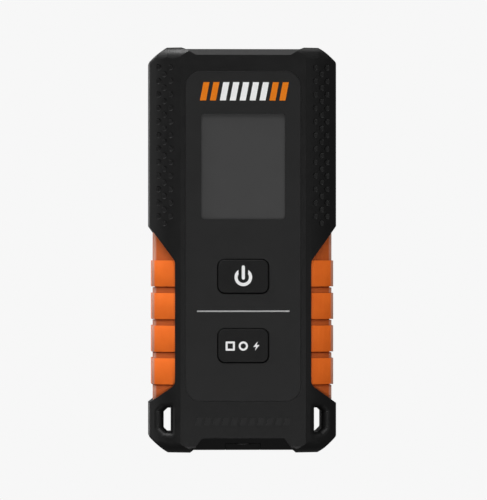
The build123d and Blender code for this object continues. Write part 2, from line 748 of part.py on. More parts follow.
# ---------------------------------------------------------------- front panel and its print
with BuildPart() as face_panel:
    with BuildSketch(Plane.XZ.offset(-PANEL_Y)):
        with Locations((0, PANEL_MID_Z)):
            RectangleRounded(PANEL_W, PANEL_H, PANEL_R)
        with Locations((0, WINDOW_MID_Z)):
            RectangleRounded(WINDOW_W, WINDOW_H, WINDOW_R, mode=Mode.SUBTRACT)
        with Locations(*[(0, z) for z in BUTTON_Z.values()]):
            RectangleRounded(BUTTON_HOLE_W, BUTTON_HOLE_H, BUTTON_R + BUTTON_GAP, mode=Mode.SUBTRACT)
    extrude(amount=-PANEL_T)
    chamfer(face_panel.faces().sort_by(Axis.Y)[0].outer_wire().edges(), length=PANEL_EDGE)
face_panel.part.label = "face_panel"
export_step(face_panel.part, "parts/face_panel.step")

with BuildPart() as badge_bars_white:
    with BuildSketch(Plane.XZ.offset(-PANEL_Y)):
        with Locations(*[(BADGE_X + BADGE_PITCH * step, BADGE_Z) for step in (-2, -1, 0, 1, 2)]):
            add(slanted_bar(BADGE_BAR_W, BADGE_H, BADGE_SLANT))
    extrude(amount=PRINT_T)
badge_bars_white.part.label = "badge_bars_white"
export_step(badge_bars_white.part, "parts/badge_bars_white.step")

with BuildPart() as badge_bars_orange:
    with BuildSketch(Plane.XZ.offset(-PANEL_Y)):
        with Locations(*[(BADGE_X + BADGE_PITCH * step, BADGE_Z) for step in (-4, -3, 3, 4)]):
            add(slanted_bar(BADGE_BAR_W, BADGE_H, BADGE_SLANT))
    extrude(amount=PRINT_T)
badge_bars_orange.part.label = "badge_bars_orange"
export_step(badge_bars_orange.part, "parts/badge_bars_orange.step")

with BuildPart() as divider_line:
    with BuildSketch(Plane.XZ.offset(-PANEL_Y)):
        with Locations((0, DIVIDER_Z)):
            SlotOverall(DIVIDER_L, DIVIDER_H)
    extrude(amount=PRINT_T)
divider_line.part.label = "divider_line"
export_step(divider_line.part, "parts/divider_line.step")


# ---------------------------------------------------------------- display
with BuildPart() as display_lens:
    with BuildSketch(Plane.XZ.offset(-PANEL_Y - PANEL_T)):
        with Locations((0, WINDOW_MID_Z)):
            RectangleRounded(LENS_W - 2 * LENS_GAP, LENS_H - 2 * LENS_GAP, LENS_R - LENS_GAP)
    extrude(amount=-LENS_T)
display_lens.part.label = "display_lens"
export_step(display_lens.part, "parts/display_lens.step")

with BuildPart() as window_gasket:
    with BuildSketch(Plane.XZ.offset(-INNER_FRONT_Y)):
        with Locations((0, WINDOW_MID_Z)):
            Rectangle(LCD_W, LCD_H)
            Rectangle(WINDOW_W + 2 * GASKET_BACK, WINDOW_H + 2 * GASKET_BACK, mode=Mode.SUBTRACT)
    extrude(amount=-GASKET_T)
window_gasket.part.label = "window_gasket"
export_step(window_gasket.part, "parts/window_gasket.step")

with BuildPart() as lcd_glass:
    with BuildSketch(Plane.XZ.offset(-GLASS_Y)):
        with Locations((0, WINDOW_MID_Z)):
            Rectangle(LCD_W - 2 * LCD_RIM, LCD_H - 2 * LCD_RIM)
    extrude(amount=-GLASS_T)
lcd_glass.part.label = "lcd_glass"
export_step(lcd_glass.part, "parts/lcd_glass.step")

with BuildPart() as lcd_backlight:
    with BuildSketch(Plane.XZ.offset(-GLASS_Y - GLASS_T)):
        with Locations((0, WINDOW_MID_Z)):
            Rectangle(LCD_W - 2 * LCD_RIM, LCD_H - 2 * LCD_RIM)
    extrude(amount=-BACKLIGHT_T)
lcd_backlight.part.label = "lcd_backlight"
export_step(lcd_backlight.part, "parts/lcd_backlight.step")

LCD_BOTTOM_Z = WINDOW_MID_Z - LCD_H / 2
with BuildPart() as lcd_frame:
    with BuildSketch(Plane.XZ.offset(-GLASS_Y)):
        with Locations((0, WINDOW_MID_Z)):
            Rectangle(LCD_W, LCD_H)
    extrude(amount=-(BOARD_Y[0] - GLASS_Y))
    with BuildSketch(Plane.XZ.offset(-GLASS_Y)):
        with Locations((0, WINDOW_MID_Z)):
            Rectangle(LCD_W - 2 * LCD_RIM, LCD_H - 2 * LCD_RIM)
    extrude(amount=-(GLASS_T + BACKLIGHT_T), mode=Mode.SUBTRACT)
    with Locations((0, GLASS_Y + GLASS_T + BACKLIGHT_T, LCD_BOTTOM_Z)):
        Box(RIBBON_W + 2 * RIBBON_CLEAR, 2, 4 * LCD_RIM, mode=Mode.SUBTRACT)
lcd_frame.part.label = "lcd_frame"
export_step(lcd_frame.part, "parts/lcd_frame.step")

with BuildPart() as lcd_ribbon:
    with BuildSketch(Plane.YZ):
        with BuildLine():
            Polyline(
                (RIBBON_Y, LCD_BOTTOM_Z + LCD_RIM),
                (RIBBON_Y, LCD_BOTTOM_Z - RIBBON_DROP[0]),
                (BOARD_Y[0], LCD_BOTTOM_Z - RIBBON_DROP[1]),
                (BOARD_Y[0], LCD_BOTTOM_Z - RIBBON_DROP[2]),
                (BOARD_Y[0] - RIBBON_T, LCD_BOTTOM_Z - RIBBON_DROP[2]),
                (BOARD_Y[0] - RIBBON_T, LCD_BOTTOM_Z - RIBBON_DROP[1]),
                (RIBBON_Y - RIBBON_T, LCD_BOTTOM_Z - RIBBON_DROP[0]),
                (RIBBON_Y - RIBBON_T, LCD_BOTTOM_Z + LCD_RIM),
                close=True,
            )
        make_face()
    extrude(amount=RIBBON_W / 2, both=True)
lcd_ribbon.part.label = "lcd_ribbon"
export_step(lcd_ribbon.part, "parts/lcd_ribbon.step")


# ---------------------------------------------------------------- buttons and their switches
def button_cap(z):
    """Button with a rounded face and the flange that holds it behind the front wall."""
    with BuildPart() as cap:
        with BuildSketch(Plane.XZ.offset(-BUTTON_FACE_Y)):
            with Locations((0, z)):
                RectangleRounded(BUTTON_W, BUTTON_H, BUTTON_R)
        extrude(amount=-(FLANGE_Y - BUTTON_FACE_Y))
        fillet(cap.faces().sort_by(Axis.Y)[0].edges(), radius=BUTTON_EDGE_R)
        with BuildSketch(Plane.XZ.offset(-FLANGE_Y)):
            with Locations((0, z)):
                RectangleRounded(BUTTON_W + 2 * FLANGE_MARGIN, BUTTON_H + 2 * FLANGE_MARGIN, FLANGE_R)
        extrude(amount=-FLANGE_T)
    return cap.part


def switch_body(z):
    """Square tactile switch on the board, bored for its plunger."""
    with BuildPart() as body:
        with BuildSketch(Plane.XZ.offset(-BOARD_Y[0])):
            with Locations((0, z)):
                RectangleRounded(SWITCH_W, SWITCH_W, SWITCH_CORNER_R)
        extrude(amount=SWITCH_T)
        with BuildSketch(Plane.XZ.offset(-BOARD_Y[0] + SWITCH_T)):
            with Locations((0, z)):
                Circle(PLUNGER_R + FIT)
        extrude(amount=SWITCH_FLOOR_T - SWITCH_T, mode=Mode.SUBTRACT)
    return body.part


def switch_plunger(z):
    """Round plunger between the button's flange and the switch."""
    with BuildPart() as plunger:
        with BuildSketch(Plane.XZ.offset(-FLANGE_Y - FLANGE_T)):
            with Locations((0, z)):
                Circle(PLUNGER_R)
        extrude(amount=-PLUNGER_L)
    return plunger.part


with BuildPart() as power_button:
    add(button_cap(BUTTON_Z["power"]))
power_button.part.label = "power_button"
export_step(power_button.part, "parts/power_button.step")

with BuildPart() as mode_button:
    add(button_cap(BUTTON_Z["mode"]))
mode_button.part.label = "mode_button"
export_step(mode_button.part, "parts/mode_button.step")

with BuildPart() as power_symbol:
    with BuildSketch(Plane.XZ.offset(-BUTTON_FACE_Y)):
        with Locations((0, POWER_RING_Z)):
            Circle(POWER_RING_R + SYMBOL_STROKE / 2)
            Circle(POWER_RING_R - SYMBOL_STROKE / 2, mode=Mode.SUBTRACT)
        with Locations((0, POWER_RING_Z + POWER_RING_R)):
            Rectangle(POWER_GAP_W, POWER_RING_R, mode=Mode.SUBTRACT)
        with Locations((0, (POWER_BAR_Z[0] + POWER_BAR_Z[1]) / 2)):
            SlotOverall(POWER_BAR_Z[1] - POWER_BAR_Z[0], SYMBOL_STROKE, rotation=90)
    extrude(amount=PRINT_T)
power_symbol.part.label = "power_symbol"
export_step(power_symbol.part, "parts/power_symbol.step")

with BuildPart() as mode_symbols:
    with BuildSketch(Plane.XZ.offset(-BUTTON_FACE_Y)):
        with Locations((-MODE_PITCH, MODE_SYMBOL_Z)):
            RectangleRounded(MODE_SYMBOL_H, MODE_SYMBOL_H, MODE_CORNER_R)
            Rectangle(MODE_SYMBOL_H - 2 * MODE_STROKE, MODE_SYMBOL_H - 2 * MODE_STROKE, mode=Mode.SUBTRACT)
        with Locations((0, MODE_SYMBOL_Z)):
            Circle(MODE_SYMBOL_H / 2)
            Circle(MODE_SYMBOL_H / 2 - MODE_STROKE, mode=Mode.SUBTRACT)
        with Locations((MODE_PITCH, MODE_SYMBOL_Z)):
            Polygon(*BOLT_OUTLINE, align=None)
    extrude(amount=PRINT_T)
mode_symbols.part.label = "mode_symbols"
export_step(mode_symbols.part, "parts/mode_symbols.step")

with BuildPart() as power_switch_body:
    add(switch_body(BUTTON_Z["power"]))
power_switch_body.part.label = "power_switch_body"
export_step(power_switch_body.part, "parts/power_switch_body.step")

with BuildPart() as mode_switch_body:
    add(switch_body(BUTTON_Z["mode"]))
mode_switch_body.part.label = "mode_switch_body"
export_step(mode_switch_body.part, "parts/mode_switch_body.step")

with BuildPart() as power_switch_plunger:
    add(switch_plunger(BUTTON_Z["power"]))
power_switch_plunger.part.label = "power_switch_plunger"
export_step(power_switch_plunger.part, "parts/power_switch_plunger.step")

with BuildPart() as mode_switch_plunger:
    add(switch_plunger(BUTTON_Z["mode"]))
mode_switch_plunger.part.label = "mode_switch_plunger"
export_step(mode_switch_plunger.part, "parts/mode_switch_plunger.step")


# ---------------------------------------------------------------- main board
with BuildPart() as main_board:
    with BuildSketch(Plane.XZ.offset(-BOARD_Y[0])):
        with Locations((0, sum(BOARD_Z) / 2)):
            RectangleRounded(BOARD_W, BOARD_Z[1] - BOARD_Z[0], BOARD_R)
        with Locations(*board_screw_spots):
            Circle(BOARD_SCREW_R + SHAFT_CLEAR, mode=Mode.SUBTRACT)
    extrude(amount=-(BOARD_Y[1] - BOARD_Y[0]))
main_board.part.label = "main_board"
export_step(main_board.part, "parts/main_board.step")

with BuildPart() as board_screws:
    with BuildSketch(Plane.XZ.offset(-BOARD_Y[1])):
        with Locations(*board_screw_spots):
            Circle(BOARD_SCREW_R)
    extrude(amount=BOARD_SCREW_L)
    with BuildSketch(Plane.XZ.offset(-BOARD_Y[1])):
        with Locations(*board_screw_spots):
            Circle(BOARD_SCREW_HEAD_R)
    extrude(amount=-BOARD_SCREW_HEAD_T)
    with BuildSketch(Plane.XZ.offset(-BOARD_Y[1] - BOARD_SCREW_HEAD_T)):
        with Locations(*board_screw_spots):
            Rectangle(DRIVE_SLOT_L, DRIVE_SLOT_W)
            Rectangle(DRIVE_SLOT_W, DRIVE_SLOT_L)
    extrude(amount=DRIVE_SLOT_DEPTH, mode=Mode.SUBTRACT)
board_screws.part.label = "board_screws"
export_step(board_screws.part, "parts/board_screws.step")

with BuildPart() as microcontroller:
    with BuildSketch(Plane.XZ.offset(-BOARD_Y[1])):
        with Locations(MCU_SPOT):
            Rectangle(MCU_W, MCU_W)
    extrude(amount=-MCU_T)
    chamfer(microcontroller.faces().sort_by(Axis.Y)[-1].edges(), length=MCU_EDGE)
microcontroller.part.label = "microcontroller"
export_step(microcontroller.part, "parts/microcontroller.step")

with BuildPart() as board_chips:
    with BuildSketch(Plane.XZ.offset(-BOARD_Y[1])):
        with Locations(*CHIP_SPOTS):
            Rectangle(*CHIP_SIZE)
    extrude(amount=-CHIP_T)
board_chips.part.label = "board_chips"
export_step(board_chips.part, "parts/board_chips.step")

with BuildPart() as board_capacitors:
    with BuildSketch(Plane.XZ.offset(-BOARD_Y[1])):
        with Locations(*CAPACITOR_SPOTS):
            Circle(CAPACITOR_R)
    extrude(amount=-CAPACITOR_H)
    fillet(board_capacitors.faces().group_by(Axis.Y)[-1].edges(), radius=CAPACITOR_EDGE_R)
board_capacitors.part.label = "board_capacitors"
export_step(board_capacitors.part, "parts/board_capacitors.step")

with BuildPart() as buzzer:
    with BuildSketch(Plane.XZ.offset(-BOARD_Y[1])):
        with Locations(BUZZER_SPOT):
            Circle(BUZZER_R)
    extrude(amount=-BUZZER_T)
    with BuildSketch(Plane.XZ.offset(-BOARD_Y[1] - BUZZER_T)):
        with Locations(BUZZER_SPOT):
            Circle(BUZZER_HOLE_R)
    extrude(amount=BUZZER_HOLE_DEPTH, mode=Mode.SUBTRACT)
buzzer.part.label = "buzzer"
export_step(buzzer.part, "parts/buzzer.step")

with BuildPart() as board_link_header:
    with Locations((HEADER_SPOT[0], (BOARD_Y[1] + SENSOR_BOARD_Y) / 2, HEADER_SPOT[1])):
        Box(HEADER_SIZE[0], SENSOR_BOARD_Y - BOARD_Y[1], HEADER_SIZE[1])
board_link_header.part.label = "board_link_header"
export_step(board_link_header.part, "parts/board_link_header.step")


# ---------------------------------------------------------------- sensor board
sensor_post_spots = [(side * POST_X, z) for side in (-1, 1) for z in POST_Z]

with BuildPart() as sensor_spacers:
    with BuildSketch(Plane.XZ.offset(-BOARD_Y[1])):
        with Locations(*sensor_post_spots):
            RegularPolygon(POST_R, 6)
    extrude(amount=-(SENSOR_BOARD_Y - BOARD_Y[1]))
sensor_spacers.part.label = "sensor_spacers"
export_step(sensor_spacers.part, "parts/sensor_spacers.step")

with BuildPart() as sensor_board:
    with BuildSketch(Plane.XZ.offset(-SENSOR_BOARD_Y)):
        with Locations((0, sum(SENSOR_BOARD_Z) / 2)):
            RectangleRounded(SENSOR_BOARD_W, SENSOR_BOARD_Z[1] - SENSOR_BOARD_Z[0], SENSOR_BOARD_R)
    extrude(amount=-SENSOR_BOARD_T)
sensor_board.part.label = "sensor_board"
export_step(sensor_board.part, "parts/sensor_board.step")

ELECTRODE_PITCH = SENSOR_BOARD_W / ELECTRODES
ELECTRODE_L = SENSOR_BOARD_Z[1] - SENSOR_BOARD_Z[0] - 2 * ELECTRODE_MARGIN

with BuildPart() as sensor_electrodes:
    with BuildSketch(Plane.XZ.offset(-SENSOR_BOARD_Y - SENSOR_BOARD_T)):
        with Locations((0, sum(SENSOR_BOARD_Z) / 2)):
            with GridLocations(ELECTRODE_PITCH, 1, ELECTRODES, 1):
                RectangleRounded(ELECTRODE_PITCH - ELECTRODE_GAP, ELECTRODE_L, ELECTRODE_R)
    extrude(amount=-ELECTRODE_T)
sensor_electrodes.part.label = "sensor_electrodes"
export_step(sensor_electrodes.part, "parts/sensor_electrodes.step")

with BuildPart() as coil_bobbin:
    with BuildSketch(Plane.XZ.offset(-SENSOR_BOARD_Y)):
        with Locations((0, COIL_Z)):
            Circle(COIL_OUTER_R)
            Circle(COIL_INNER_R, mode=Mode.SUBTRACT)
    extrude(amount=COIL_T)
    with BuildSketch(Plane.XZ.offset(-SENSOR_BOARD_Y + COIL_T - COIL_FLANGE_T)):
        with Locations((0, COIL_Z)):
            Circle(COIL_OUTER_R)
            Circle(COIL_INNER_R + COIL_RIM, mode=Mode.SUBTRACT)
    extrude(amount=-(COIL_T - 2 * COIL_FLANGE_T), mode=Mode.SUBTRACT)
coil_bobbin.part.label = "coil_bobbin"
export_step(coil_bobbin.part, "parts/coil_bobbin.step")

with BuildPart() as detector_coil:
    with BuildSketch(Plane.XZ.offset(-SENSOR_BOARD_Y + COIL_T - COIL_FLANGE_T)):
        with Locations((0, COIL_Z)):
            Circle(COIL_OUTER_R - COIL_FLANGE_T)
            Circle(COIL_INNER_R + COIL_RIM, mode=Mode.SUBTRACT)
    extrude(amount=-(COIL_T - 2 * COIL_FLANGE_T))
detector_coil.part.label = "detector_coil"
export_step(detector_coil.part, "parts/detector_coil.step")


# ---------------------------------------------------------------- batteries
def battery_cell(x, upward):
    """AAA cell with its positive cap up or down."""
    base_z = BAY_Z[1] - CONTACT_T if upward else BAY_Z[0] + CONTACT_T
    sense = -1 if upward else 1
    with BuildPart() as cell:
        with BuildSketch(Plane.XY.offset(base_z)):
            with Locations((x, CELL_Y)):
                Circle(CELL_CAP_R)
        extrude(amount=sense * CELL_CAP_T)
        with BuildSketch(Plane.XY.offset(base_z + sense * CELL_CAP_T)):
            with Locations((x, CELL_Y)):
                Circle(CELL_DIA / 2)
        extrude(amount=sense * (CELL_L - CELL_CAP_T))
        fillet(cell.edges().filter_by(lambda e: abs(e.length - pi * CELL_DIA) < FIT), radius=CELL_EDGE_R)
    return cell.part


with BuildPart() as battery_cell_left:
    add(battery_cell(-CELL_PITCH, upward=True))
battery_cell_left.part.label = "battery_cell_left"
export_step(battery_cell_left.part, "parts/battery_cell_left.step")

with BuildPart() as battery_cell_middle:
    add(battery_cell(0, upward=False))
battery_cell_middle.part.label = "battery_cell_middle"
export_step(battery_cell_middle.part, "parts/battery_cell_middle.step")

with BuildPart() as battery_cell_right:
    add(battery_cell(CELL_PITCH, upward=True))
battery_cell_right.part.label = "battery_cell_right"
export_step(battery_cell_right.part, "parts/battery_cell_right.step")

with BuildPart() as battery_springs:
    for x, base_z in zip((-CELL_PITCH, 0, CELL_PITCH), (SPRING_BASE_Z, SPRING_TOP_Z, SPRING_BASE_Z)):
        with BuildLine():
            coil = Helix(
                pitch=SPRING_PITCH,
                height=SPRING_L - 2 * SPRING_WIRE_R,
                radius=SPRING_R,
                center=(x, CELL_Y, base_z + SPRING_WIRE_R),
            )
        with BuildSketch(Plane(origin=coil @ 0, z_dir=coil % 0)):
            Circle(SPRING_WIRE_R)
        sweep(is_frenet=True)
battery_springs.part.label = "battery_springs"
export_step(battery_springs.part, "parts/battery_springs.step")

with BuildPart() as battery_contacts:
    for base_z, joined, single in ((BAY_Z[0], -1, 1), (BAY_Z[1] - CONTACT_T, 1, -1)):
        with BuildSketch(Plane.XY.offset(base_z)):
            with Locations((joined * CELL_PITCH / 2, CELL_Y)):
                RectangleRounded(CELL_PITCH + CONTACT_W, CONTACT_W, CONTACT_R)
            with Locations((single * CELL_PITCH, CELL_Y)):
                RectangleRounded(CONTACT_W, CONTACT_W, CONTACT_R)
        extrude(amount=CONTACT_T)
battery_contacts.part.label = "battery_contacts"
export_step(battery_contacts.part, "parts/battery_contacts.step")

with BuildPart() as battery_leads:
    with BuildSketch(Plane.XZ.offset(-BOARD_Y[1])):
        with Locations(*LEAD_SPOTS):
            Rectangle(LEAD_W, LEAD_T)
    extrude(amount=-(CELL_Y - CONTACT_W / 2 - BOARD_Y[1]))
battery_leads.part.label = "battery_leads"
export_step(battery_leads.part, "parts/battery_leads.step")


# ---------------------------------------------------------------- battery door
with BuildPart() as battery_door:
    with BuildSketch(Plane.XZ.offset(-REAR_Y)):
        with Locations((0, sum(DOOR_Z) / 2)):
            RectangleRounded(2 * DOOR_HALF_W, DOOR_Z[1] - DOOR_Z[0], DOOR_R)
    extrude(amount=DOOR_T)
    # grip ridges cut into the outside
    with BuildSketch(Plane.XZ.offset(-REAR_Y)):
        with Locations((0, DOOR_RIDGE_Z)):
            with GridLocations(1, DOOR_RIDGE_PITCH, 1, DOOR_RIDGES):
                SlotOverall(DOOR_RIDGE_L, DOOR_RIDGE_W)
    extrude(amount=DOOR_RIDGE_DEPTH, mode=Mode.SUBTRACT)
    # tongues along the top edge, inside the rear wall
    for side in (-1, 1):
        with BuildSketch(Plane.YZ.offset(side * TONGUE_X)):
            with BuildLine():
                Polyline(
                    (REAR_Y - DOOR_T, TONGUE_Z[0]),
                    (REAR_Y - DOOR_T, DOOR_Z[1] - TONGUE_STEP),
                    (TONGUE_Y[1], DOOR_Z[1] - TONGUE_STEP),
                    (TONGUE_Y[1], TONGUE_Z[1]),
                    (TONGUE_Y[0], TONGUE_Z[1]),
                    (TONGUE_Y[0], TONGUE_Z[0]),
                    close=True,
                )
            make_face()
        extrude(amount=TONGUE_W / 2, both=True)
battery_door.part.label = "battery_door"
export_step(battery_door.part, "parts/battery_door.step")

with BuildPart() as door_latch:
    with BuildSketch(Plane.YZ):
        with BuildLine():
            Polyline(
                (REAR_Y, DOOR_Z[0]),
                (LATCH_REAR_Y, DOOR_Z[0]),
                (LATCH_REAR_Y, LATCH_ARM_Z),
                (LATCH_TIP_Y, LATCH_ARM_Z),
                (LATCH_TIP_Y - 1, LATCH_TOP_Z),
                (BUMP_Y[2], LATCH_TOP_Z),
                (BUMP_Y[1], LATCH_TOP_Z + BUMP_H),
                (BUMP_Y[0], LATCH_TOP_Z),
                (FRONT_Y, LATCH_TOP_Z),
                (FRONT_Y, TAIL_Z),
                (REAR_Y, TAIL_Z),
                close=True,
            )
        make_face()
    extrude(amount=LATCH_HALF_W, both=True)
    add(BOTTOM_BEVEL, mode=Mode.SUBTRACT)
    # notch for a fingernail in the front of its top edge
    with BuildSketch(Plane.XZ.offset(-NAIL_NOTCH_Y)):
        with BuildLine():
            base = Line((-NAIL_NOTCH_W / 2, LATCH_TOP_Z), (NAIL_NOTCH_W / 2, LATCH_TOP_Z))
            ThreePointArc(base @ 0, (0, LATCH_TOP_Z - NAIL_NOTCH_H), base @ 1)
        make_face()
    extrude(amount=NAIL_NOTCH_Y - FRONT_Y, mode=Mode.SUBTRACT)
door_latch.part.label = "door_latch"
export_step(door_latch.part, "parts/door_latch.step")

with BuildPart() as door_foam_pad:
    with BuildSketch(Plane.XZ.offset(-REAR_Y + DOOR_T)):
        with Locations((0, FOAM_Z)):
            Rectangle(*FOAM_SIZE)
    extrude(amount=FOAM_T)
door_foam_pad.part.label = "door_foam_pad"
export_step(door_foam_pad.part, "parts/door_foam_pad.step")


# ---------------------------------------------------------------- rear hardware
with BuildPart() as housing_screws:
    with BuildSketch(Plane.XZ.offset(-REAR_Y + SCREW_SINK)):
        with Locations(*screw_spots):
            Circle(SCREW_HEAD_R)
    extrude(amount=SCREW_HEAD_T)
    chamfer(housing_screws.faces().group_by(Axis.Y)[-1].edges(), length=SCREW_EDGE)
    with BuildSketch(Plane.XZ.offset(-REAR_Y + SCREW_SINK + SCREW_HEAD_T)):
        with Locations(*screw_spots):
            Circle(SCREW_R)
    extrude(amount=REAR_Y - SCREW_SINK - SCREW_HEAD_T - SCREW_TIP_Y)
    with BuildSketch(Plane.XZ.offset(-REAR_Y + SCREW_SINK)):
        with Locations(*screw_spots):
            Rectangle(SCREW_SLOT_L, SCREW_SLOT_W)
            Rectangle(SCREW_SLOT_W, SCREW_SLOT_L)
    extrude(amount=SCREW_SLOT_DEPTH, mode=Mode.SUBTRACT)
housing_screws.part.label = "housing_screws"
export_step(housing_screws.part, "parts/housing_screws.step")

with BuildPart() as glide_pads:
    with BuildSketch(Plane.XZ.offset(-REAR_Y)):
        with Locations(*[(side * PAD_X[0], PAD_Z[0]) for side in (-1, 1)]):
            RectangleRounded(*LOWER_PAD_SIZE, PAD_CORNER_R)
        with Locations(*[(side * PAD_X[1], PAD_Z[1]) for side in (-1, 1)]):
            RectangleRounded(*UPPER_PAD_SIZE, PAD_CORNER_R)
    extrude(amount=-GLIDE_T)
glide_pads.part.label = "glide_pads"
export_step(glide_pads.part, "parts/glide_pads.step")

with BuildPart() as rating_label:
    with BuildSketch(Plane.XZ.offset(-REAR_Y + LABEL_T)):
        with Locations((LABEL_X, LABEL_Z)):
            RectangleRounded(LABEL_W, LABEL_H, LABEL_R)
    extrude(amount=LABEL_BELOW - LABEL_T)
rating_label.part.label = "rating_label"
export_step(rating_label.part, "parts/rating_label.step")
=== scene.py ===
import math
import random

import bmesh
import bpy
from mathutils import Matrix, Vector, noise


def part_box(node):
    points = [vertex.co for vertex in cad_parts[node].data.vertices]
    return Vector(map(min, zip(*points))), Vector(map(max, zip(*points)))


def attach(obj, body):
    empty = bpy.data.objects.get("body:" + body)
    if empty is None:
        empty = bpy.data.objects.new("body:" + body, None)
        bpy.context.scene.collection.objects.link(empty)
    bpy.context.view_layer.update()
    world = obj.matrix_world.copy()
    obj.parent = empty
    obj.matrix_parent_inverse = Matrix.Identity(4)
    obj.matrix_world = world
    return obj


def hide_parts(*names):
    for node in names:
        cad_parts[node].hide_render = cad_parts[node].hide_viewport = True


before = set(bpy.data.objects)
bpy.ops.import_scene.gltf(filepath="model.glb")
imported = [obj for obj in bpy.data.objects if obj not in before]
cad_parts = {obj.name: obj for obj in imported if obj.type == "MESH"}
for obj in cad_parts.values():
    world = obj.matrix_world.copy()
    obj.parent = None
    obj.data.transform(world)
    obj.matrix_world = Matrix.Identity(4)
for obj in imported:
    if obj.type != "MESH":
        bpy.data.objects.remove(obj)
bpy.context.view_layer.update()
MM = 0.001
X_AXIS = Vector((1, 0, 0))
Y_AXIS = Vector((0, 1, 0))
Z_AXIS = Vector((0, 0, 1))


# ---------------------------------------------------------------- colours and small helpers
def linear(red, green, blue):
    """Scene-linear colour from display values between 0 and 255, by the sRGB curve."""
    def one(value):
        value /= 255
        return value / 12.92 if value <= 0.04045 else ((value + 0.055) / 1.055) ** 2.4
    return (one(red), one(green), one(blue), 1.0)


def grey(level):
    return linear(level, level, level)


# a wave texture of scale 1 has a band about every this many metres
WAVE_PERIOD = 0.314


class Shader:
    """A Principled material with short ways to add procedural detail."""

    def __init__(self, name, roughness=0.5, metallic=0.0, specular=0.5):
        self.material = bpy.data.materials.new(name)
        self.material.use_nodes = True
        self.tree = self.material.node_tree
        self.bsdf = self.tree.nodes["Principled BSDF"]
        self.bsdf.inputs["Roughness"].default_value = roughness
        self.bsdf.inputs["Metallic"].default_value = metallic
        self.bsdf.inputs["Specular IOR Level"].default_value = specular
        self.coords = self.tree.nodes.new("ShaderNodeTexCoord").outputs["Object"]
        self.relief = None

    def link(self, source, target):
        self.tree.links.new(source, target)

    def feed(self, value, target):
        """Sets an input to a constant, or links another result to it."""
        if isinstance(value, (int, float, tuple)):
            target.default_value = value
        else:
            self.link(value, target)

    def noise(self, size, detail, rough=0.5):
        """Noise whose grains are about size metres across."""
        node = self.tree.nodes.new("ShaderNodeTexNoise")
        node.inputs["Scale"].default_value = 1 / size
        node.inputs["Detail"].default_value = detail
        node.inputs["Roughness"].default_value = rough
        self.link(self.coords, node.inputs["Vector"])
        return node.outputs["Fac"]

    def cells(self, size, feature="F1"):
        """Distances in a pattern of cells about size metres across."""
        node = self.tree.nodes.new("ShaderNodeTexVoronoi")
        node.feature = feature
        node.inputs["Scale"].default_value = 1 / size
        self.link(self.coords, node.inputs["Vector"])
        return node.outputs["Distance"]

    def waves(self, size, direction="X"):
        """Straight bands that repeat every size metres."""
        node = self.tree.nodes.new("ShaderNodeTexWave")
        node.bands_direction = direction
        node.inputs["Scale"].default_value = WAVE_PERIOD / size
        self.link(self.coords, node.inputs["Vector"])
        return node.outputs["Fac"]

    def along(self, axis):
        """Position along X, Y or Z in metres."""
        node = self.tree.nodes.new("ShaderNodeSeparateXYZ")
        self.link(self.coords, node.inputs["Vector"])
        return node.outputs[axis]

    def math(self, operation, *values):
        """Result of a math node on numbers or other results."""
        node = self.tree.nodes.new("ShaderNodeMath")
        node.operation = operation
        for value, target in zip(values, node.inputs):
            self.feed(value, target)
        return node.outputs["Value"]

    def mix(self, amount, first, second):
        """Blend of two colours or colour results."""
        node = self.tree.nodes.new("ShaderNodeMix")
        node.data_type = "RGBA"
        inputs = {socket.identifier: socket for socket in node.inputs}
        outputs = {socket.identifier: socket for socket in node.outputs}
        self.feed(amount, inputs["Factor_Float"])
        self.feed(first, inputs["A_Color"])
        self.feed(second, inputs["B_Color"])
        return outputs["Result_Color"]

    def ramp(self, source, first, second, start=0.3, end=0.7):
        """Colour that goes from first to second while a pattern goes from start to end."""
        node = self.tree.nodes.new("ShaderNodeValToRGB")
        for element, place, colour in zip(node.color_ramp.elements, (start, end), (first, second)):
            element.position = place
            element.color = colour
        self.link(source, node.inputs["Fac"])
        return node.outputs["Color"]

    def spread(self, source, low, high, start=0.3, end=0.7):
        """Value that goes from low to high while a pattern goes from start to end."""
        node = self.tree.nodes.new("ShaderNodeMapRange")
        node.inputs["From Min"].default_value = start
        node.inputs["From Max"].default_value = end
        node.inputs["To Min"].default_value = low
        node.inputs["To Max"].default_value = high
        self.link(source, node.inputs["Value"])
        return node.outputs["Result"]

    def paint(self, colour):
        """Makes a colour result the base colour."""
        self.link(colour, self.bsdf.inputs["Base Color"])

    def colour_between(self, source, first, second, start=0.3, end=0.7):
        self.paint(self.ramp(source, first, second, start, end))

    def roughness_between(self, source, low, high):
        self.link(self.spread(source, low, high), self.bsdf.inputs["Roughness"])

    def bump(self, source, depth):
        """Adds relief of the given depth in metres, on top of earlier relief."""
        node = self.tree.nodes.new("ShaderNodeBump")
        node.inputs["Distance"].default_value = depth
        self.link(source, node.inputs["Height"])
        if self.relief:
            self.link(self.relief, node.inputs["Normal"])
        self.relief = node.outputs["Normal"]
        self.link(self.relief, self.bsdf.inputs["Normal"])

    def set(self, **sockets):
        """Sets constants on sockets, named with _ in place of spaces."""
        for name, value in sockets.items():
            self.bsdf.inputs[name.replace("_", " ")].default_value = value


def dress(shader, *nodes):
    """Gives CAD nodes one material."""
    for name in nodes:
        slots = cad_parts[name].data.materials
        slots.clear()
        slots.append(shader.material)


EDGE_R = 0.12 * MM
SHARP_ANGLE = 35


def soften(*nodes):
    """Rounds the sharp edges of CAD nodes with modifiers, and leaves their meshes alone."""
    for name in nodes:
        cad_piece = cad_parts[name]
        weld = cad_piece.modifiers.new("weld", "WELD")
        weld.merge_threshold = 0.002 * MM
        bevel = cad_piece.modifiers.new("edges", "BEVEL")
        bevel.width = EDGE_R
        bevel.segments = 2
        bevel.limit_method = "ANGLE"
        bevel.angle_limit = math.radians(SHARP_ANGLE)
        bevel.harden_normals = True
        bevel.miter_outer = "MITER_ARC"


# ---------------------------------------------------------------- plastics and rubbers
# what lies in front of this plane is the raised bars, whose fronts carry a painted highlight: they
# are coloured a paler grey than the rest of the casing
RAISED_Y = -13.3 * MM
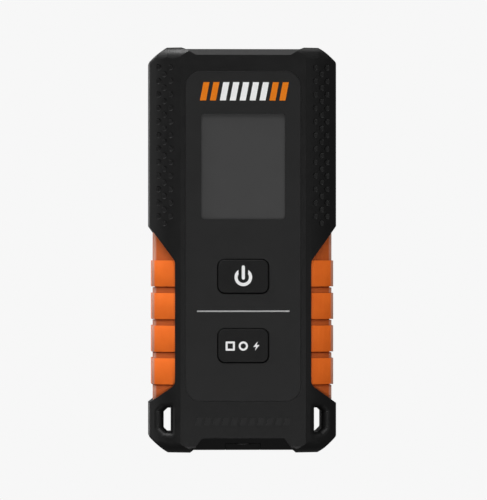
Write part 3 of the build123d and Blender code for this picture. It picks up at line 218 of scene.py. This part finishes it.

# the pads of the side grips: the top of the first, their height, spacing and number,
# and how far out the painted reflection on a pad's edge lies beyond the one on the floor between pads
PAD_TOP = 66.4 * MM
PAD_H = 9.0 * MM
PAD_PITCH = 11.26 * MM
PAD_COUNT = 4
PAD_STEP = 0.6 * MM
# the painted reflection along the rubber's outer front edge fades in outwards over RIM_X, and out
# backwards over RIM_Y
RIM_X = (29.7 * MM, 30.3 * MM)
RIM_Y = (-4.5 * MM, -3.5 * MM)


def case_plastic():
    """Black casing plastic with a slight mottle, a fine texture and a painted highlight on the raised
    bars.
    """
    shader = Shader("case_abs", specular=0.2)
    mottle = shader.ramp(shader.noise(6 * MM, 3), grey(17), grey(19))
    # painted highlight: the fronts of the raised bars get a paler grey than the casing around them
    raised_bar_highlight = shader.math("LESS_THAN", shader.along("Y"), RAISED_Y)
    shader.paint(shader.mix(raised_bar_highlight, mottle, grey(27)))
    shader.roughness_between(shader.noise(3 * MM, 4), 0.34, 0.42)
    shader.bump(shader.noise(0.22 * MM, 3), 0.02 * MM)
    return shader


def grip_rubber():
    """Orange rubber with painted shade on the floor around the pads and a painted reflection along
    its outer front edge.
    """
    shader = Shader("grip_tpe", specular=0.22)
    from_top = shader.math("SUBTRACT", PAD_TOP, shader.along("Z"))
    pad_steps = shader.math("DIVIDE", from_top, PAD_PITCH)
    on_pad = shader.math("LESS_THAN", shader.math("FRACT", pad_steps), PAD_H / PAD_PITCH)
    on_pad = shader.math("MULTIPLY", on_pad, shader.math("GREATER_THAN", pad_steps, 0.0))
    on_pad = shader.math("MULTIPLY", on_pad, shader.math("LESS_THAN", pad_steps, PAD_COUNT))
    shade = shader.noise(5 * MM, 4)
    pad_colour = shader.ramp(shade, linear(226, 102, 24), linear(232, 108, 28))
    # painted shade: the rubber floor around the pads is coloured darker to stand for the shade in the
    # grooves
    shaded_floor_colour = shader.ramp(shade, linear(172, 77, 24), linear(180, 83, 28))
    colour = shader.mix(on_pad, shaded_floor_colour, pad_colour)
    # painted reflection: along the outer front edge the orange gives way to a pale pinkish grey that
    # stands for the white surroundings reflected at a grazing angle
    outwards = shader.math("ABSOLUTE", shader.along("X"))
    outwards = shader.math("SUBTRACT", outwards, shader.math("MULTIPLY", on_pad, PAD_STEP))
    at_side = shader.spread(outwards, 0.0, 1.0, *RIM_X)
    at_front = shader.spread(shader.along("Y"), 1.0, 0.0, *RIM_Y)
    reflection_rim = shader.math("MULTIPLY", at_side, at_front)
    shader.paint(shader.mix(reflection_rim, colour, linear(186, 134, 114)))
    shader.roughness_between(shader.noise(2 * MM, 4), 0.56, 0.68)
    shader.bump(shader.noise(0.3 * MM, 3), 0.025 * MM)
    return shader


def ink(name, low, high, specular=0.5):
    """Printed ink with a slightly uneven tone."""
    shader = Shader(name, roughness=0.45, specular=specular)
    shader.colour_between(shader.noise(0.6 * MM, 3), low, high)
    shader.bump(shader.noise(0.1 * MM, 2), 0.006 * MM)
    return shader


def film(name, low, high):
    """Glossy film shrunk onto a battery cell."""
    shader = Shader(name, roughness=0.25)
    shader.colour_between(shader.noise(3 * MM, 3), low, high)
    shader.bump(shader.noise(1.2 * MM, 2), 0.01 * MM)
    shader.set(Coat_Weight=0.5)
    return shader


case_abs = case_plastic()
grip_tpe = grip_rubber()

panel_abs = Shader("panel_satin", specular=0.14)
panel_abs.colour_between(panel_abs.noise(9 * MM, 3), grey(33), grey(35))
panel_abs.roughness_between(panel_abs.noise(4 * MM, 4), 0.38, 0.46)
panel_abs.bump(panel_abs.noise(0.12 * MM, 2), 0.008 * MM)

button_silicone = Shader("button_silicone", roughness=0.5, specular=0.18)
button_silicone.colour_between(button_silicone.noise(4 * MM, 3), grey(14), grey(16))
button_silicone.bump(button_silicone.noise(0.16 * MM, 2), 0.012 * MM)

lens = Shader("smoked_window", specular=0.65)
lens.colour_between(lens.noise(12 * MM, 2), grey(65), grey(67))
lens.roughness_between(lens.noise(5 * MM, 4), 0.1, 0.15)
lens.bump(lens.noise(20 * MM, 1), 0.02 * MM)

white_ink = ink("white_ink", grey(236), grey(243))
grey_ink = ink("grey_ink", grey(162), grey(172))
orange_ink = ink("orange_ink", linear(222, 118, 12), linear(228, 124, 18), specular=0.15)

foam = Shader("foam", roughness=0.95)
foam.colour_between(foam.cells(0.45 * MM), grey(30), grey(56))
foam.bump(foam.cells(0.45 * MM), 0.15 * MM)

felt = Shader("wool_felt", roughness=0.95)
felt.colour_between(felt.noise(0.5 * MM, 6, 0.7), grey(44), grey(74))
felt.bump(felt.noise(0.25 * MM, 8, 0.75), 0.2 * MM)
felt.set(Sheen_Weight=0.6, Sheen_Roughness=0.4)

label_film = Shader("label_film", roughness=0.35, metallic=0.4)
label_film.colour_between(label_film.noise(2 * MM, 3), grey(144), grey(156))
label_film.bump(label_film.waves(0.08 * MM), 0.002 * MM)

nylon = Shader("natural_nylon", roughness=0.5)
nylon.colour_between(nylon.noise(2 * MM, 3), linear(200, 196, 180), linear(212, 208, 196))
nylon.bump(nylon.noise(0.4 * MM, 3), 0.02 * MM)
nylon.set(Subsurface_Weight=0.1, Subsurface_Scale=0.5 * MM)

chip_epoxy = Shader("chip_epoxy", roughness=0.6)
chip_epoxy.colour_between(chip_epoxy.noise(0.3 * MM, 4), grey(33), grey(44))
chip_epoxy.bump(chip_epoxy.noise(0.08 * MM, 2), 0.01 * MM)


# ---------------------------------------------------------------- metals, boards and battery film
def metal(name, colour, roughness):
    """Bare metal with a fine grain and uneven gloss."""
    shader = Shader(name, metallic=1.0)
    shader.set(Base_Color=colour)
    shader.roughness_between(shader.noise(1.5 * MM, 4), roughness * 0.8, roughness * 1.25)
    shader.bump(shader.noise(0.15 * MM, 3), 0.004 * MM)
    return shader


zinc = metal("zinc_plate", linear(190, 192, 196), 0.32)
nickel = metal("nickel_plate", linear(205, 200, 190), 0.22)
tin = metal("tin_plate", linear(196, 198, 196), 0.35)
can = metal("drawn_can", linear(208, 210, 212), 0.28)
copper = metal("copper", linear(198, 116, 78), 0.3)
winding = metal("copper_winding", linear(180, 92, 48), 0.28)
winding.bump(winding.waves(0.2 * MM, "Y"), 0.05 * MM)

board = Shader("solder_mask", roughness=0.3)
plates = board.cells(3.2 * MM, "DISTANCE_TO_EDGE")
board.colour_between(plates, linear(38, 116, 66), linear(20, 84, 46), 0.02, 0.06)
board.bump(plates, 0.03 * MM)

ribbon = Shader("polyimide", roughness=0.25)
ribbon.colour_between(ribbon.waves(0.5 * MM), linear(150, 84, 22), linear(190, 122, 50))
ribbon.bump(ribbon.waves(0.5 * MM), 0.01 * MM)

light_guide = Shader("light_guide", roughness=0.25)
light_guide.colour_between(light_guide.cells(0.8 * MM), grey(236), grey(212))
light_guide.set(Coat_Weight=0.4)

glass = Shader("display_glass", roughness=0.08)
glass.colour_between(glass.noise(8 * MM, 2), linear(98, 106, 100), linear(108, 116, 110))
glass.set(Coat_Weight=0.5)

sleeve = film("cell_sleeve", linear(40, 46, 62), linear(48, 54, 70))
sleeve_band = film("cell_sleeve_band", linear(170, 134, 68), linear(182, 146, 80))

dress(case_abs, "front_housing", "rear_housing", "battery_door", "door_latch")
dress(panel_abs, "face_panel")
dress(grip_tpe, "left_side_grip", "right_side_grip")
dress(button_silicone, "power_button", "mode_button")
dress(lens, "display_lens")
dress(white_ink, "badge_bars_white", "power_symbol", "mode_symbols")
dress(orange_ink, "badge_bars_orange")
dress(grey_ink, "divider_line")
dress(label_film, "rating_label")
dress(nylon, "sensor_spacers", "coil_bobbin")
dress(chip_epoxy, "microcontroller", "board_chips", "buzzer", "board_link_header")
dress(chip_epoxy, "power_switch_plunger", "mode_switch_plunger")
dress(zinc, "board_screws", "housing_screws")
dress(nickel, "battery_springs", "battery_contacts")
dress(tin, "lcd_frame", "power_switch_body", "mode_switch_body", "battery_leads")
dress(can, "board_capacitors")
dress(copper, "sensor_electrodes")
dress(board, "main_board", "sensor_board")
dress(ribbon, "lcd_ribbon")
dress(light_guide, "lcd_backlight")
dress(glass, "lcd_glass")

soften("left_side_grip", "right_side_grip", "face_panel", "battery_door", "door_latch")


# ---------------------------------------------------------------- detailed pieces
def piece(name, mesh, body, shaders, smooth_angle=35):
    """Object from a mesh that rides on a body, with its materials in order."""
    for shader in shaders:
        mesh.materials.append(shader.material)
    obj = bpy.data.objects.new(name, mesh)
    bpy.context.scene.collection.objects.link(obj)
    mesh.shade_smooth()
    mesh.set_sharp_from_angle(angle=math.radians(smooth_angle))
    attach(obj, body)
    return obj


def mesh_from(bm, name):
    """Mesh with a bmesh's faces; the bmesh is freed."""
    mesh = bpy.data.meshes.new(name)
    bm.to_mesh(mesh)
    bm.free()
    return mesh


def solid_boxes(node):
    """Lowest and highest corner of each separate solid of a CAD node."""
    bm = bmesh.new()
    bm.from_mesh(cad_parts[node].data)
    bmesh.ops.remove_doubles(bm, verts=bm.verts, dist=0.001 * MM)
    left = set(bm.verts)
    boxes = []
    while left:
        stack = [left.pop()]
        corners = []
        while stack:
            vert = stack.pop()
            corners.append(vert.co.copy())
            for edge in vert.link_edges:
                other = edge.other_vert(vert)
                if other in left:
                    left.remove(other)
                    stack.append(other)
        low = Vector([min(c[i] for c in corners) for i in range(3)])
        high = Vector([max(c[i] for c in corners) for i in range(3)])
        boxes.append((low, high))
    bm.free()
    return sorted(boxes, key=lambda box: tuple(round(v, 5) for v in box[0]))


def lathe(bm, outline, origin, axis_to, steps, slots=None):
    """Turns (radius, height) points about an axis; slots gives each band's material index."""
    turn = Z_AXIS.rotation_difference(axis_to)
    rings = []
    for radius, height in outline:
        if radius == 0:
            rings.append([bm.verts.new(origin + turn @ Vector((0, 0, height)))])
            continue
        ring = []
        for step in range(steps):
            angle = 2 * math.pi * step / steps
            spot = Vector((radius * math.cos(angle), radius * math.sin(angle), height))
            ring.append(bm.verts.new(origin + turn @ spot))
        rings.append(ring)
    for band, (first, second) in enumerate(zip(rings, rings[1:])):
        for step in range(steps):
            following = (step + 1) % steps
            corners = [first[step % len(first)], first[following % len(first)]]
            corners += [second[following % len(second)], second[step % len(second)]]
            unique = list(dict.fromkeys(corners))
            face = bm.faces.new(unique)
            face.material_index = slots[band] if slots else 0


def battery(name, node, upward):
    """AAA cell: crimped can, wrapped sleeve with a plain colour band, and its positive cap."""
    low, high = (Vector(corner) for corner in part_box(node))
    radius = (high.x - low.x) / 2
    length = high.z - low.z
    cap_r = 1.9 * MM
    cap_h = 0.9 * MM
    lip = 0.25 * MM
    seam = 0.12 * MM
    top = length - cap_h
    shoulder = radius - 0.9 * MM
    band = top * 0.72
    outline = [(0, 0), (shoulder, 0), (shoulder, lip), (radius - seam, lip)]
    outline += [(radius, 2 * lip), (radius, band)]
    outline += [(radius, band + lip), (radius, top - 2 * lip), (radius - seam, top - lip)]
    outline += [(shoulder, top - lip), (shoulder - lip, top), (cap_r + lip, top), (cap_r, top + lip)]
    outline += [(cap_r, length - lip), (cap_r - lip, length), (0, length)]
    bare, wrapped, banded = range(3)
    slots = [bare] * 3 + [wrapped] * 2 + [banded] * 4 + [bare] * 6
    origin = Vector(((low.x + high.x) / 2, (low.y + high.y) / 2, low.z if upward else high.z))
    bm = bmesh.new()
    lathe(bm, outline, origin, Vector((0, 0, 1 if upward else -1)), steps=64, slots=slots)
    bmesh.ops.recalc_face_normals(bm, faces=bm.faces)
    obj = piece(name, mesh_from(bm, name), "casing", (can, sleeve, sleeve_band))
    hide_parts(node)


def coil_winding():
    """Search coil, wound turn by turn: every turn on its surface is a ridge."""
    low, high = (Vector(corner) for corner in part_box("detector_coil"))
    outer = (high.x - low.x) / 2
    inner = 12.0 * MM
    height = high.y - low.y
    wire = 0.25 * MM
    ridge = wire * 0.35
    edge = wire * 0.4
    outline = []

    def ridges(start, end, outward):
        run = Vector(end) - Vector(start)
        turns = max(1, round(run.length / wire))
        for turn_index in range(turns):
            for part in (0.0, 0.25, 0.5, 0.75):
                spot = Vector(start) + run * ((turn_index + part) / turns)
                lift = math.sin(math.pi * part) * ridge
                outline.append(tuple(spot + Vector(outward) * lift))

    ridges((inner + edge, edge), (outer - edge, edge), (0, -1))
    ridges((outer - edge, edge), (outer - edge, height - edge), (1, 0))
    ridges((outer - edge, height - edge), (inner + edge, height - edge), (0, 1))
    ridges((inner + edge, height - edge), (inner + edge, edge), (-1, 0))
    outline.append(outline[0])
    bm = bmesh.new()
    centre = Vector(((low.x + high.x) / 2, low.y, (low.z + high.z) / 2))
    lathe(bm, outline, centre, Y_AXIS, steps=96)
    bmesh.ops.remove_doubles(bm, verts=bm.verts, dist=0.0005 * MM)
    bmesh.ops.recalc_face_normals(bm, faces=bm.faces)
    obj = piece("coil_winding", mesh_from(bm, "coil_winding"), "casing", (winding,), smooth_angle=60)
    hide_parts("detector_coil")


# the fine unevenness of a soft skin is this many times finer than its grain
FINER = 2.7


def soft_copy(name, node, body, shader, voxel, grain, depth, fibres=0):
    """Remeshed copy of a soft CAD solid with an uneven skin, kept inside the solid's box."""
    low, high = (Vector(corner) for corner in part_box(node))
    source = bpy.data.objects.new(name + "_source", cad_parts[node].data.copy())
    bpy.context.scene.collection.objects.link(source)
    remesh = source.modifiers.new("remesh", "REMESH")
    remesh.mode = "VOXEL"
    remesh.voxel_size = voxel
    smooth = source.modifiers.new("smooth", "SMOOTH")
    smooth.iterations = 2
    depsgraph = bpy.context.evaluated_depsgraph_get()
    mesh = bpy.data.meshes.new_from_object(source.evaluated_get(depsgraph))
    bpy.data.objects.remove(source)
    mesh.materials.clear()
    bm = bmesh.new()
    bm.from_mesh(mesh)
    bm.normal_update()
    # every point moves in by something between nothing and the full depth
    for vert in bm.verts:
        coarse = noise.noise(vert.co / grain)
        fine = noise.noise(vert.co / grain * FINER)
        vert.co -= vert.normal * depth * (0.5 + 0.35 * coarse + 0.15 * fine)
    if fibres:
        add_fibres(bm, fibres)
    for vert in bm.verts:
        vert.co = Vector([min(max(vert.co[i], low[i]), high[i]) for i in range(3)])
    bm.to_mesh(mesh)
    bm.free()
    obj = piece(name, mesh, body, (shader,), smooth_angle=80)
    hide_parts(node)


FIBRE_R = 0.012 * MM
FIBRE_GAP = 0.01 * MM
FIBRE_RISE = 0.06 * MM
FIBRE_POINTS = 5


def add_fibres(bm, count):
    """Short curved wool fibres lying on the skin."""
    dice = random.Random(11)
    bm.faces.ensure_lookup_table()
    skin = list(bm.faces)
    for _ in range(count):
        face = skin[dice.randrange(len(skin))]
        along = face.normal.orthogonal()
        along.rotate(Matrix.Rotation(dice.uniform(0, 2 * math.pi), 3, face.normal))
        across = face.normal.cross(along)
        length = dice.uniform(0.5, 1.1) * MM
        bend = dice.uniform(-0.4, 0.4)
        rings = []
        for step in range(FIBRE_POINTS):
            part = step / (FIBRE_POINTS - 1)
            rise = math.sin(math.pi * part) * FIBRE_RISE + FIBRE_GAP
            spot = face.calc_center_median() + along * (length * (part - 0.5))
            spot += across * (bend * length * part * part) + face.normal * rise
            ring = [spot + across * FIBRE_R, spot + face.normal * FIBRE_R, spot - across * FIBRE_R]
            rings.append([bm.verts.new(corner) for corner in ring])
        tube(bm, rings)


def tube(bm, rings):
    """Joins rings of corners into the open skin of a bar."""
    for first, second in zip(rings, rings[1:]):
        sides = len(first)
        for side in range(sides):
            following = (side + 1) % sides
            bm.faces.new((first[side], first[following], second[following], second[side]))


LEAD_HALF_T = 0.06 * MM
LEAD_HALF_W = 0.13 * MM
# the share of a chip's side that its row of leads takes up
LEAD_ROW = 0.9


def strip(bm, path, across):
    """Bent metal strip that follows a path of points with a rectangular section."""
    rings = []
    for index, spot in enumerate(path):
        before = path[max(index - 1, 0)]
        after = path[min(index + 1, len(path) - 1)]
        up = (after - before).normalized().cross(across).normalized() * LEAD_HALF_T
        corners = [spot + across + up, spot - across + up, spot - across - up, spot + across - up]
        rings.append([bm.verts.new(corner) for corner in corners])
    tube(bm, rings)
    bm.faces.new(reversed(rings[0]))
    bm.faces.new(rings[-1])


def lead_path(root, outward, half_height, board_y):
    """Points of a lead from inside its chip, out through the side and down to its foot."""
    points = [(-0.05 * MM, half_height), (0.35 * MM, half_height), (0.5 * MM, half_height * 0.8)]
    points += [(0.6 * MM, 0.22 * MM), (0.72 * MM, 0.08 * MM), (1.15 * MM, 0.07 * MM)]
    path = []
    for away, lift in points:
        spot = root + outward * away
        path.append(Vector((spot.x, board_y + lift, spot.z)))
    return path


def chip_leads():
    """Bent leads around the microcontroller and the small chips, soldered to the board."""
    bm = bmesh.new()
    board_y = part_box("main_board")[1][1]
    # each chip's box, and how many leads it has on each end and on each side
    chips = [(box, 12, 12) for box in solid_boxes("microcontroller")]
    chips += [(box, 0, 4) for box in solid_boxes("board_chips")]
    for (low, high), on_ends, on_sides in chips:
        centre = (low + high) / 2
        half = (high - low) / 2
        rows = [(X_AXIS, half.x, Z_AXIS, half.z, on_sides), (Z_AXIS, half.z, X_AXIS, half.x, on_ends)]
        for outward, reach, along, span, count in rows:
            for sense in (-1, 1):
                out = outward * sense
                for index in range(count):
                    slide = along * span * (2 * (index + 0.5) / count - 1) * LEAD_ROW
                    path = lead_path(centre + slide + out * reach, out, half.y, board_y)
                    strip(bm, path, along * LEAD_HALF_W)
    bmesh.ops.recalc_face_normals(bm, faces=bm.faces)
    obj = piece("chip_leads", mesh_from(bm, "chip_leads"), "casing", (tin,))


battery("cell_left_wrapped", "battery_cell_left", upward=True)
battery("cell_middle_wrapped", "battery_cell_middle", upward=False)
battery("cell_right_wrapped", "battery_cell_right", upward=True)
coil_winding()
chip_leads()
soft_copy("felt_glides", "glide_pads", "casing", felt,
          voxel=0.2 * MM, grain=0.5 * MM, depth=0.1 * MM, fibres=1600)
soft_copy("foam_door_pad", "door_foam_pad", "door", foam,
          voxel=0.16 * MM, grain=0.4 * MM, depth=0.08 * MM)
soft_copy("foam_gasket", "window_gasket", "casing", foam,
          voxel=0.2 * MM, grain=0.5 * MM, depth=0.08 * MM)


# ---------------------------------------------------------------- stage, light and camera
def backdrop():
    """Pale round floor that curves up into a wall all the way round."""
    reach = 3.4
    sweep = 0.6
    height = 6.0
    steps = 16
    profile = [(0, 0), (reach, 0)]
    for step in range(1, steps + 1):
        turn = math.pi / 2 * step / steps
        profile.append((reach + sweep * math.sin(turn), sweep * (1 - math.cos(turn))))
    profile.append((reach + sweep, height))
    bm = bmesh.new()
    lathe(bm, profile, Vector((0, 0, 0)), Z_AXIS, steps=64)
    mesh = mesh_from(bm, "backdrop")
    mesh.shade_smooth()
    floor = bpy.data.objects.new("backdrop", mesh)
    bpy.context.scene.collection.objects.link(floor)
    paper = Shader("backdrop_paper", roughness=1.0, specular=0.0)
    paper.set(Base_Color=grey(0), Emission_Color=grey(247), Emission_Strength=1.0)
    mesh.materials.append(paper.material)
    floor.visible_diffuse = False
    floor.visible_glossy = False
    floor.visible_shadow = False


# the middle of the object, which the lights face
MIDDLE = Vector((0, 0, 70 * MM))
# place in metres, width and height in metres, power in watts
LIGHTS = {
    "front_left": ((-0.8, -1.2, 0.8), (1.0, 1.0), 2.0),
    "front_right": ((0.8, -1.2, 0.6), (1.0, 1.0), 1.5),
    "front_top": ((0.0, -0.9, 1.3), (1.2, 0.6), 10.0),
    "front_low": ((0.0, -1.3, -0.5), (1.0, 0.6), 7.5),
    "top_back": ((-0.1, 0.4, 1.3), (1.4, 0.8), 4.5),
    "top_left": ((-0.9, 0.0, 1.1), (0.9, 0.9), 8.0),
    "overhead": ((-0.42, 0.05, 1.4), (0.8, 0.3), 10.5),
    "left_side": ((-1.3, -0.2, 0.2), (0.8, 1.2), 3.0),
    "left_back": ((-1.0, 0.9, 0.3), (0.8, 1.2), 8.0),
}
WORLD_COLOUR = (0.8, 0.8, 0.8, 1)
WORLD_STRENGTH = 0.2

# the camera is level, a little left of straight ahead, and aims just right of the middle
CAMERA_AZIMUTH = -2.2
CAMERA_DISTANCE = 1.6
CAMERA_AIM = MIDDLE + X_AXIS * 0.6 * MM
VIEW_HEIGHT = 173.8 * MM
# the sensor's long side, which stands upright in this picture
SENSOR = 24


def area_light(name, place, size, power):
    data = bpy.data.lights.new(name, "AREA")
    data.shape = "RECTANGLE"
    data.size, data.size_y = size
    data.energy = power
    lamp = bpy.data.objects.new(name, data)
    lamp.location = place
    lamp.rotation_euler = (MIDDLE - Vector(place)).to_track_quat("-Z", "Y").to_euler()
    bpy.context.scene.collection.objects.link(lamp)


def world_light():
    """Even grey light from all round."""
    world = bpy.data.worlds.new("studio")
    world.use_nodes = True
    background = world.node_tree.nodes["Background"]
    background.inputs["Color"].default_value = WORLD_COLOUR
    background.inputs["Strength"].default_value = WORLD_STRENGTH
    bpy.context.scene.world = world


def camera():
    """Camera whose picture is VIEW_HEIGHT tall at the distance of the aim."""
    data = bpy.data.cameras.new("camera")
    data.sensor_width = SENSOR
    data.lens = SENSOR * CAMERA_DISTANCE / VIEW_HEIGHT
    data.clip_end = 20
    eye = bpy.data.objects.new("camera", data)
    turn = math.radians(CAMERA_AZIMUTH)
    offset = Vector((math.sin(turn), -math.cos(turn), 0)) * CAMERA_DISTANCE
    eye.location = CAMERA_AIM + offset
    eye.rotation_euler = (-offset).to_track_quat("-Z", "Y").to_euler()
    bpy.context.scene.collection.objects.link(eye)
    bpy.context.scene.camera = eye


backdrop()
for name, (place, size, power) in LIGHTS.items():
    area_light(name, place, size, power)
world_light()
bpy.context.scene.view_settings.view_transform = "Standard"
camera()
